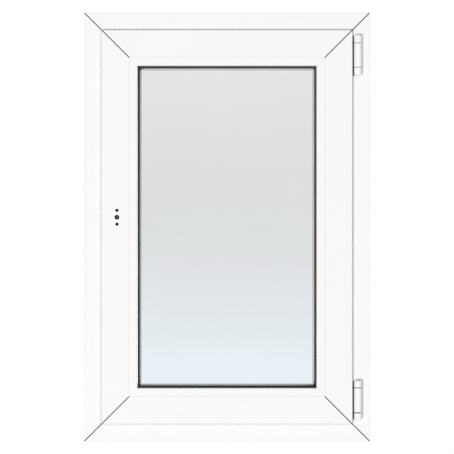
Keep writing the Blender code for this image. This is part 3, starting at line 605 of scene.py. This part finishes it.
def frame_points():
    """The corners of the fixed frame's outline, each with its radius."""
    points = [(0, FRAME_ROOM, 1.0), (REBATE_U, FRAME_ROOM, 1.2), (REBATE_U, FRAME_LIP_Y, 0.8)]
    groove_end = FRAME_LIP_Y + GROOVE_DEPTH
    points += [(SEAL_GROOVE[0], FRAME_LIP_Y, 0.3), (SEAL_GROOVE[0], groove_end, 0)]
    points += [(SEAL_GROOVE[1], groove_end, 0), (SEAL_GROOVE[1], FRAME_LIP_Y, 0.3)]
    points += [(FRAME_LIP_U, FRAME_LIP_Y, 1.2), (FRAME_LIP_U - 3, FRAME_OUT, 2.0), (0, FRAME_OUT, 1.0)]
    for low, high in ANCHOR_GROOVES:
        points += [(0, high, 0.5), (GROOVE_DEPTH, high, 0.3), (GROOVE_DEPTH, low, 0.3), (0, low, 0.5)]
    return points


def sash_points():
    """The corners of the sash's outline: a softly rounded leaf, the hardware groove, and the outer lip."""
    low, high = GROOVE_Y
    near, far = LEAF_GROOVE
    points = [(OVERLAP_U, SASH_ROOM, 2.2), (GLAZING_U, SASH_ROOM, 0.35), (GLAZING_U, GLASS_FLOOR_Y, 0.3)]
    points += [(LIP_U - 3, GLASS_FLOOR_Y, 0.8), (LIP_U, GLASS_FLOOR_Y + 4, 1.5)]
    points += [(LIP_U - 1.5, SASH_OUT, 2.2), (SASH_EDGE_U, SASH_OUT, 1.0)]
    points += [(SASH_EDGE_U, high, 0.5), (GROOVE_BOTTOM_U, high, 0.3), (GROOVE_BOTTOM_U, low, 0.3)]
    points += [(SASH_EDGE_U, low, 0.5), (SASH_EDGE_U, LEAF_BACK, 0.6), (far, LEAF_BACK, 0.2)]
    points += [(far, LEAF_GROOVE_Y, 0.2), (near, LEAF_GROOVE_Y, 0.2), (near, LEAF_BACK, 0.2)]
    points += [(OVERLAP_U, LEAF_BACK, 0.8)]
    return points


def bead_outline():
    """The glazing bead: a small round at the sash, a broad round at the glass, and its clip foot."""
    foot_u, foot_y = BEAD_INNER_U - 5, BEAD_BACK - 3
    points = [(BEAD_OUTER_U, SASH_ROOM, 0.35), (BEAD_INNER_U, SASH_ROOM, 2.6), (BEAD_INNER_U, BEAD_BACK, 0.4)]
    points += [(foot_u, BEAD_BACK, 0.3), (foot_u, foot_y, 0.3), (BEAD_OUTER_U, foot_y, 0.3)]
    return rounded(points)


SIDES = {
    "top": ("frame_head", "sash_top", "bead_top"),
    "bottom": ("frame_sill", "sash_bottom", "bead_bottom"),
    "left": ("frame_jamb_left", "sash_stile_left", "bead_left"),
    "right": ("frame_jamb_right", "sash_stile_right", "bead_right"),
}
BEAD_JOINT = 0.05              # half the width of the joint between two beads
HANDLE_HOLES = ((5.0, 0.0), (3.3, 14.5), (3.3, -14.5))     # radius, and height above the spindle
HOLE_RIM = 0.25                # bevel round a hole
HOLE_END = -31.0
POCKET_U = (SASH_EDGE_U - 1, 83.3)
POCKET_Y = (-33.0, -18.0)      # the room inside the stile for the gearbox
POCKET_HALF = 60.5


def handle_holes(mesh):
    """Cut the drive's pocket, the spindle hole and the two screw holes into the handle stile."""
    z = SPINDLE.z
    ends = [cut("left", z - POCKET_HALF), cut("left", z + POCKET_HALF)]
    mesh = take(mesh, sweep_mesh([rectangle(POCKET_U, POCKET_Y)], ends))
    for radius, rise in HANDLE_HOLES:
        wide = radius + HOLE_RIM
        hole = [(0, SASH_ROOM - 1), (wide, SASH_ROOM - 1), (wide, SASH_ROOM)]
        hole += [(radius, SASH_ROOM + HOLE_RIM), (radius, HOLE_END), (0, HOLE_END)]
        mesh = take(mesh, turned_mesh(hole, (SPINDLE.x, z + rise), "Y", shift=0.5))
    return mesh


def build_profiles():
    """The twelve white profile bars, and the near-black plates of painted shade in their mitres."""
    frame_loops = [rounded(frame_points()), *FRAME_CHAMBERS]
    sash_loops = [rounded(sash_points()), *SASH_CHAMBERS]
    bead_loops = [bead_outline(), rectangle((BEAD_OUTER_U + 3, BEAD_INNER_U - 3.5), (-45, BEAD_BACK - 6))]
    for side, (frame_node, sash_node, bead_node) in SIDES.items():
        bar = mitred_mesh(side, frame_loops, SEAM)
        collect(frame_node + "_profile", bar, "pvc", "frame", [frame_node])
        bar = mitred_mesh(side, sash_loops, SEAM)
        if side == "left":
            bar = handle_holes(bar)
        collect(sash_node + "_profile", bar, "pvc", "sash", [sash_node])
        bar = mitred_mesh(side, bead_loops, BEAD_JOINT)
        collect(bead_node + "_profile", bar, "pvc", "sash", [bead_node])
    for body, points in (("frame", frame_points()), ("sash", sash_points())):
        sharp = [point[:2] for point in points]
        # painted shade: near-black plates that darken each open mitre joint
        mitre_shade_plates = seam_mesh(inset(sharp, SEAM_DEPTH), SEAM - FILLER_GAP)
        collect(body + "_mitre_painted_shade", mitre_shade_plates, "painted_shade", body)


# ---- glazing ----

GLASS_GAP = 0.3                # the gaskets' distance from the glass and from the bead
GASKET_ROOT_U = BEAD_INNER_U - 4
OUTER_ROOT_U = 104.0
OUTER_BACK = GLASS_FLOOR_Y - GLASS_GAP
BEVEL_ANGLE = 50               # degrees; only folds sharper than this are eased


def build_glazing():
    """The black gasket round the glass, the grey one outside, and the sealed unit."""
    root, glass = BEAD_BACK + GLASS_GAP, PANE_FRONT - GLASS_GAP
    lip = [(GASKET_ROOT_U, root, 0), (BEAD_INNER_U - 0.6, root, 0)]
    lip += [(BEAD_INNER_U - 0.2, BEAD_BACK - 0.9, 0.3), (GASKET_U - 1.2, BEAD_BACK - 0.2, 0.9)]
    lip += [(GASKET_U, glass, 0.2), (GASKET_ROOT_U, glass, 0)]
    collect("bead_gasket_lip", ring_mesh(rounded(lip)), "rubber_and_painted_shade", "sash", ["bead_gasket"])
    glass = PANE_BACK + GLASS_GAP
    outer = [(OUTER_ROOT_U, glass, 0), (GASKET_U - 0.4, glass, 0.3)]
    outer += [(GASKET_U - 1.2, OUTER_BACK, 0.5), (OUTER_ROOT_U, OUTER_BACK, 0)]
    collect("outer_gasket_lip", ring_mesh(rounded(outer)), "grey_seal", "sash",
            ["outer_glass_gasket"])
    dress("glass_pane_inner", "glass_inner")
    dress("glass_pane_outer", "glass_outer")
    dress("glass_spacer", "spacer")


def dress(node, look, bevel=0.0):
    """Give a CAD node its material, and ease its sharp edges where a bevel is given."""
    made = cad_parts[node]
    made.data.materials.clear()
    made.data.materials.append(MATERIALS[look])
    if bevel:
        ease = made.modifiers.new("eased_edges", "BEVEL")
        ease.width = bevel * MM
        ease.segments = 2
        ease.limit_method = "ANGLE"
        ease.angle_limit = radians(BEVEL_ANGLE)


# ---- hinges ----

AXIS = (AXIS_X, AXIS_Y)
STRAP_Y = (AXIS_Y + 8.7, AXIS_Y + 10.8)
STRAP_X = 261.5                # the strap's near-black part, painted shade in the gap, starts here
PLATE_END = STRAP_X + 0.5      # and the steel plate behind it ends here
WASHER_BORE = 3.9
WASHER_WIDE, WASHER_NARROW = 7.9, 7.0
EDGE = 0.6                     # rounding of a barrel's end


def knuckle(low, high, low_ease, high_ease):
    """A hinge barrel with rounded ends."""
    bottom = arc((BARREL - low_ease, low + low_ease), low_ease, -90, 0, 6)
    top = arc((BARREL - high_ease, high - high_ease), high_ease, 0, 90, 6)
    return turned_mesh([(0, low), *bottom, *top, (0, high)], AXIS)


def bore(radius, low, high):
    """A cutter or a shaft on the axis; its facets are half a step off the barrels', so no edges coincide."""
    return turned_mesh([(0, low), (radius, low), (radius, high), (0, high)], AXIS, shift=0.5)


def washer(name, radius, low, high, body):
    """A washer between two barrels, near-black as painted shade in the joint."""
    ring = [(WASHER_BORE, low), (radius, low), (radius, high), (WASHER_BORE, high)]
    collect(name, turned_mesh(ring, AXIS), "painted_shade", body)


def link(low, high):
    """The web between a knuckle and its base on the frame."""
    return box_mesh((AXIS_X + 1, AXIS_Y + 5.6, low), (AXIS_X + 8.4, FRAME_ROOM - 0.3, high), 0.5)


def tongue(low, high):
    """The web between a sash-side barrel and its strap."""
    return box_mesh((AXIS_X - 7.8, AXIS_Y + 5.2, low), (AXIS_X - 0.5, STRAP_Y[1], high))


def dark_strap(name, body, low, high):
    """The strap where it shows between the sash and a barrel, near-black as painted shade in that gap."""
    strap = box_mesh((STRAP_X, STRAP_Y[0] - 0.1, low), (AXIS_X - 5.0, STRAP_Y[1] + 0.1, high), 0.2)
    collect(name, strap, "dark", body)


KNUCKLES = (17.0, 16.0)        # heights of the bearing's lower and upper knuckles
KNUCKLE_EDGE = 0.7
BEARING_FOOT, BEARING_HEAD = 4.5, 1.6       # rounding of the bearing's lower and upper ends
STAY_BORE, STAY_SLEEVE_BORE = 3.8, 4.55


def build_top_hinge():
    """The frame's bearing with two knuckles, two washers, and the stay arm between them."""
    low, high = (edge.z for edge in mm("stay_bearing"))
    knuckle_low, knuckle_high = low + KNUCKLES[0], high - KNUCKLES[1]
    bearing = knuckle(low, knuckle_low, BEARING_FOOT, KNUCKLE_EDGE)
    bearing = add(bearing, link(low + 4, knuckle_low))
    bearing = add(bearing, knuckle(knuckle_high, high, KNUCKLE_EDGE, BEARING_HEAD))
    bearing = add(bearing, link(knuckle_high, high - 1.5))
    near, far = (AXIS_X + 1.4, AXIS_Y + 9.4, low + 4.4), (AXIS_X + 8.1, FRAME_ROOM - 0.4, high - 1.9)
    bearing = add(bearing, box_mesh(near, far, 0.3))
    bearing = take(bearing, bore(STAY_BORE, low + 4.0, high + 1))
    collect("stay_bearing_body", bearing, "hinge", "frame", ["stay_bearing"])
    washer("stay_washer_low", WASHER_WIDE, knuckle_low + 0.1, knuckle_low + 0.9, "frame")
    washer("stay_washer_high", WASHER_NARROW, knuckle_high - 0.9, knuckle_high - 0.1, "frame")
    sleeve = knuckle(knuckle_low + 1.0, knuckle_high - 1.0, KNUCKLE_EDGE, KNUCKLE_EDGE)
    sleeve = take(sleeve, bore(STAY_SLEEVE_BORE, knuckle_low, knuckle_high))
    sleeve = add(sleeve, tongue(knuckle_low + 6, knuckle_high - 6))
    collect("stay_arm_barrel", sleeve, "hinge", "stay_arm", ["stay_arm"])
    bar = stay_bar(knuckle_low + 6, knuckle_high - 6)
    dark_strap("stay_arm_strap", "stay_arm", knuckle_low + 4, knuckle_high - 4)
    collect("stay_arm_bar", bar, "steel", "stay_arm")


STAY_PLATE_X = (247.0, 249.5)  # the turned-up plate at the arm's hinge end
ARM_THICK = 3.0
ARM_EDGE = 0.2
ARM_END = 6.0                  # radius of the arm's round end
PIN_IN = 7.0                   # the stay pin's distance from the arm's end
PIN_FOOT = 836.5
RIB_Y = (-27.3, -23.7)
RIB_END = 220.0
PLATE_EDGE = 0.35


def level(z):
    """The station at a height, for a section drawn in (x, y)."""
    return lambda x, y: Vector((x, y, z))


def stay_bar(low, high):
    """The steel strap, its turned-up plate, and the long arm with a stiffening rib and a riveted pin."""
    arm_low, arm_high = mm("stay_arm")
    near, far = STAY_PLATE_X
    y0, y1 = GROOVE_Y
    top = arm_high.z
    under = top - ARM_THICK
    bar = box_mesh((near, STRAP_Y[0], low), (PLATE_END, STRAP_Y[1], high), PLATE_EDGE)
    bar = add(bar, box_mesh((near, STRAP_Y[0], low), (far, y1, top), PLATE_EDGE))
    middle = (y0 + y1) / 2
    outline = arc((arm_low.x + ARM_END, middle), ARM_END, 90, 270, 12) + [(far, y0), (far, y1)]
    bar = add(bar, sweep_mesh([outline], [level(under + ARM_EDGE), level(top - ARM_EDGE)]))
    pin_x = arm_low.x + PIN_IN
    start = pin_x + 20
    rib = [(start, RIB_Y[0], 1.7), (RIB_END, RIB_Y[0], 1.7), (RIB_END, RIB_Y[1], 1.7), (start, RIB_Y[1], 1.7)]
    bar = add(bar, sweep_mesh([rounded(rib)], [level(top - 1.0), level(top + 0.4)]))
    shank = [(0, PIN_FOOT), (2.5, PIN_FOOT), (3, PIN_FOOT + 0.7), (3, under + 1), (0, under + 1)]
    bar = add(bar, turned_mesh(shank, (pin_x, middle), "Z", SMALL_FACETS))
    rivet = [(0, top - 1), (3.6, top - 1), (3.4, top + 0.2), (2.4, top + 0.8), (0, top + 1.0)]
    return add(bar, turned_mesh(rivet, (pin_x, middle), "Z", SMALL_FACETS))


BALL_SEAT = [(0, 47.7), (2.6, 47.9), (4.4, 49.6), (4.4, 54.0), (5.5, 58.0)]     # the cup's inside
LOWER_HINGE_END = 2.4          # rounding of the lower hinge's two ends
BAND_HIGH = 112.4
BAND_TONGUE_Z, BAND_STRAP_Z = (65, 109), (62, 111)
BAND_PLATE_Z, BAND_LEG_Z = (64, 110), (58, 112)
BAND_PLATE_X = (243.3, 245.8)
BAND_PLATE_Y = -17.5
PIVOT_BORE, PIVOT_BORE_HIGH = 3.4, 105.6
CAP_BORE, CAP_BORE_LOW = 3.1, 108.5
CAP_STUD = 2.8
CAP_COVER_LOW = 113.9


def build_bottom_hinge():
    """The corner bearing's cup on the frame, and the sash's corner band with its cap."""
    low, high = CUP_LOW.z, CUP_HIGH.z
    cup = knuckle(low, high, LOWER_HINGE_END, EDGE)
    cup = add(cup, link(low + 2.5, high))
    cup = take(cup, turned_mesh([*BALL_SEAT, (5.5, high + 1), (0, high + 1)], AXIS, shift=0.5))
    collect("corner_bearing_cup", cup, "hinge", "frame", ["corner_bearing"])
    band_low = high + 2.0
    barrel = knuckle(band_low, BAND_HIGH, EDGE, EDGE)
    barrel = add(barrel, tongue(*BAND_TONGUE_Z))
    barrel = take(barrel, bore(PIVOT_BORE, band_low - 1, PIVOT_BORE_HIGH))
    barrel = take(barrel, bore(CAP_BORE, CAP_BORE_LOW, BAND_HIGH + 1))
    collect("corner_band_barrel", barrel, "hinge", "sash", ["corner_band"])
    dark_strap("corner_band_strap", "sash", *BAND_STRAP_Z)
    near, far = BAND_PLATE_X
    low, high = BAND_PLATE_Z
    plate = box_mesh((near, STRAP_Y[0], low), (PLATE_END, STRAP_Y[1], high), PLATE_EDGE)
    low, high = BAND_LEG_Z
    plate = add(plate, box_mesh((near, STRAP_Y[0], low), (far, BAND_PLATE_Y, high), PLATE_EDGE))
    collect("corner_band_plate", plate, "steel", "sash")
    washer("corner_band_washer", WASHER_WIDE, BAND_HIGH + 0.1, CAP_COVER_LOW - 0.1, "sash")
    cap = knuckle(CAP_COVER_LOW, CAP_HIGH.z, EDGE, LOWER_HINGE_END)
    cap = add(cap, bore(CAP_STUD, CAP_LOW.z, CAP_COVER_LOW + 1))
    collect("corner_band_cap_cover", cap, "hinge", "sash", ["corner_band_cap"])


HINGE_GAP_SHADE = {"hinge_gap_painted_shade_top": (768.0, 851.0), "hinge_gap_painted_shade_bottom": (47.0, 127.0)}
HINGE_GAP_SHADE_X = 258.0


def build_hinge_gap_shade():
    """Near-black strips on the frame behind the barrels: painted shade in the gap beside the sash."""
    for name, (low, high) in HINGE_GAP_SHADE.items():
        strip = box_mesh((HINGE_GAP_SHADE_X, FRAME_ROOM - 0.6, low), (AXIS_X - 4.0, FRAME_ROOM - 0.02, high), 0.1)
        collect(name, strip, "rubber_and_painted_shade", "frame")


# ---- hardware ----

def screw_mesh():
    """A countersunk screw head with a cross recess, facing +Z at the origin, in millimetres."""
    head = [(0, -1.2), (1.9, -1.2), (3.3, -0.1), (3.3, 0.0), (3.1, 0.18), (0, 0.3)]
    mesh = turned_mesh(head, (0, 0), "Z", SMALL_FACETS)
    for wide, deep in ((2.0, 0.35), (0.35, 2.0)):
        mesh = take(mesh, box_mesh((-wide, -deep, -0.9), (wide, deep, 1.0)))
    return mesh


SCREW = bpy.data.meshes.new("screw")
HEAD = screw_mesh()
HEAD.to_mesh(SCREW)
HEAD.free()

PLATE_SCREWS_LEFT = (118, 250, 330, 395, 546, 640, 782)
PLATE_SCREWS_TOP = (-184, -110, -60, 40, 110, 185)
PLATE_SCREWS_BOTTOM = (-190, -110, -20, 60, 140)
BAND_SCREWS = (74, 98)
CORNER_SCREW = 72
STRIKER_FACING = {
    "striker_left_lower": (1, 0, 0),
    "striker_left_upper": (1, 0, 0),
    "striker_top": (0, 0, -1),
    "striker_bottom": (0, 0, 1),
    "striker_tilt": (0, 0, 1),
}
STRIKER_SCREW_Y = -17.5
STRIKER_SCREW_IN = 5.0         # a screw's distance from the striker's end
STRIKER_BASE = 1.4             # thickness of the plate under the screw heads


def screws(name, body, places, towards):
    """A set of screws at places in millimetres, with their heads facing one way."""
    mesh = bmesh.new()
    turn = Vector((0, 0, 1)).rotation_difference(Vector(towards)).to_matrix()
    for place in places:
        before = len(mesh.verts)
        mesh.from_mesh(SCREW)
        mesh.verts.ensure_lookup_table()
        for vertex in mesh.verts[before:]:
            vertex.co = turn @ vertex.co + Vector(place)
    collect(name, mesh, "steel", body)


def build_screws():
    """The screws in the faceplates, the corner band, the corner drives and the strikers."""
    y = sum(GROOVE_Y) / 2
    plate_u = HALF + mm("faceplate_left")[0].x
    left = [(plate_u - HALF, y, z) for z in PLATE_SCREWS_LEFT]
    screws("faceplate_screws_left", "sash", left, (-1, 0, 0))
    top = [(x, y, HEIGHT - plate_u) for x in PLATE_SCREWS_TOP]
    screws("faceplate_screws_top", "sash", top, (0, 0, 1))
    bottom = [(x, y, plate_u) for x in PLATE_SCREWS_BOTTOM]
    screws("faceplate_screws_bottom", "sash", bottom, (0, 0, -1))
    band = [(BAND_PLATE_X[1], y - 2, z) for z in BAND_SCREWS]
    screws("corner_band_screws", "sash", band, (1, 0, 0))
    corners = [(plate_u - HALF, y, z) for z in (CORNER_SCREW, HEIGHT - CORNER_SCREW)]
    screws("corner_drive_screws", "sash", corners, (-1, 0, 0))
    for name, towards in STRIKER_FACING.items():
        low, high = mm(name)
        along = 2 if towards[0] else 0
        across = 2 - along
        spot = Vector((0, STRIKER_SCREW_Y, 0))
        spot[across] = low[across] + STRIKER_BASE if sum(towards) > 0 else high[across] - STRIKER_BASE
        places = []
        for end in (low[along] + STRIKER_SCREW_IN, high[along] - STRIKER_SCREW_IN):
            spot[along] = end
            places.append(spot.copy())
        screws(name + "_screws", "frame", places, towards)


SHADE_LINING_GAP = 0.04              # between a lining of painted shade and its hole
SHADE_LINING_WALL = 0.3
SHADE_LINING_SIDES = 48
SHADE_LINING_END = -33.1             # just in front of the spindle's nut
SCREW_HOLE_END = (-33.0, -31.2)


def build_spindle():
    """Near-black linings of painted shade in the three handle holes, and the pale machined pip in the
    spindle's socket, which has a painted glow.
    """
    hole_shade = bmesh.new()
    for radius, rise in HANDLE_HOLES:
        outer, inner = radius - SHADE_LINING_GAP, radius - SHADE_LINING_WALL
        mouth = [(inner, SASH_ROOM + 0.5), (outer, SASH_ROOM + 0.4)]
        wall = [(inner, SHADE_LINING_END), *mouth, (outer, SHADE_LINING_END)]
        if rise:
            floor, under = SCREW_HOLE_END
            wall = [(0, floor), (inner, floor), *mouth, (outer, under), (0, under)]
        absorb(hole_shade, turned_mesh(wall, (SPINDLE.x, SPINDLE.z + rise), "Y", SHADE_LINING_SIDES))
    # painted shade: near-black linings darken the handle holes
    collect("handle_hole_painted_shade", hole_shade, "painted_shade", "sash")
    pip = [(0, -25.4), (1.3, -25.4), (1.7, -25.0), (1.7, -20.5), (0, -20.5)]
    pip = turned_mesh(pip, (SPINDLE.x, SPINDLE.z), "Y", SMALL_FACETS)
    collect("spindle_centre_pip", pip, "pip", "spindle")
    dress("spindle_nut", "dark")


def dress_hardware():
    """Materials for the CAD nodes that keep their own shapes."""
    for side in ("head", "sill", "left", "right"):
        dress("frame_steel_" + side, "steel")
    for side in ("top", "bottom", "left", "right"):
        dress("sash_steel_" + side, "steel")
    for node in ("faceplate_left", "faceplate_top", "faceplate_bottom", "drive_rod_left", "drive_rod_top",
                 "drive_rod_bottom", "corner_drive_top", "corner_drive_bottom"):
        dress(node, "steel")
    # near-black painted shade on the pins and the bush, so the joints between the barrels read dark
    for node in ("corner_pivot_pin", "stay_bush", "stay_pin"):
        dress(node, "painted_shade")
    for node in ("striker_left_lower", "striker_left_upper", "striker_top", "striker_bottom", "striker_tilt",
                 "gearbox_case", "gearbox_cover"):
        dress(node, "zinc")
    for node in ("packer_bottom_left", "packer_bottom_right", "packer_hinge_side", "packer_handle_side"):
        dress(node, "packer", 0.4)
    for node in ("frame_seal", "sash_seal"):
        dress(node, "rubber_and_painted_shade")
    for node in ("drain_cap_left", "drain_cap_right"):
        dress(node, "pvc", 0.3)


# ---- studio ----

CENTRE = Vector((0, FRAME_ROOM, HEIGHT / 2)) * MM
CAMERA_DISTANCE = 9.0
VIEW_WIDTH = 0.9524            # width of the view at the frame's room face
SENSOR = 36.0
FAR = 60.0
ROOM_LEVEL, BACKDROP_LEVEL = 0.40, 1.02     # the white world as a light, and as the camera sees it
SUNS = {                       # the way it shines, its width in degrees, its strength
    "key_lower_left": ((1.2, 5.6, 1.15), 7.0, 1.66),
    "fill_right": ((-2.0, 5.6, -1.0), 6.0, 0.38),
    "back_fill": ((-1.8, -5.0, 0.3), 6.0, 1.6),
}


def build_studio():
    """The camera, the white world and three soft suns."""
    camera = bpy.data.cameras.new("camera")
    camera.sensor_width = SENSOR
    camera.lens = SENSOR * CAMERA_DISTANCE / VIEW_WIDTH
    camera.clip_end = FAR
    eye = bpy.data.objects.new("camera", camera)
    eye.location = CENTRE + Vector((0, -CAMERA_DISTANCE, 0))
    eye.rotation_euler = (radians(90), 0, 0)
    bpy.context.collection.objects.link(eye)
    bpy.context.scene.camera = eye
    bpy.context.scene.view_settings.view_transform = "Standard"

    world = bpy.data.worlds.new("white_studio")
    world.use_nodes = True
    tree = world.node_tree
    back = tree.nodes["Background"]
    path = tree.nodes.new("ShaderNodeLightPath")
    brightness = spread(tree, path.outputs["Is Camera Ray"], ROOM_LEVEL, BACKDROP_LEVEL, 0.0, 1.0)
    tree.links.new(brightness, socket(back, "Strength"))
    socket(back, "Color").default_value = (1, 1, 1, 1)
    bpy.context.scene.world = world

    for name, (towards, width, strength) in SUNS.items():
        light = bpy.data.lights.new(name, "SUN")
        light.angle = radians(width)
        light.energy = strength
        holder = bpy.data.objects.new(name, light)
        holder.rotation_euler = Vector(towards).to_track_quat("-Z", "Y").to_euler()
        bpy.context.collection.objects.link(holder)


build_profiles()
build_glazing()
build_top_hinge()
build_bottom_hinge()
build_hinge_gap_shade()
build_screws()
build_spindle()
dress_hardware()
build_studio()
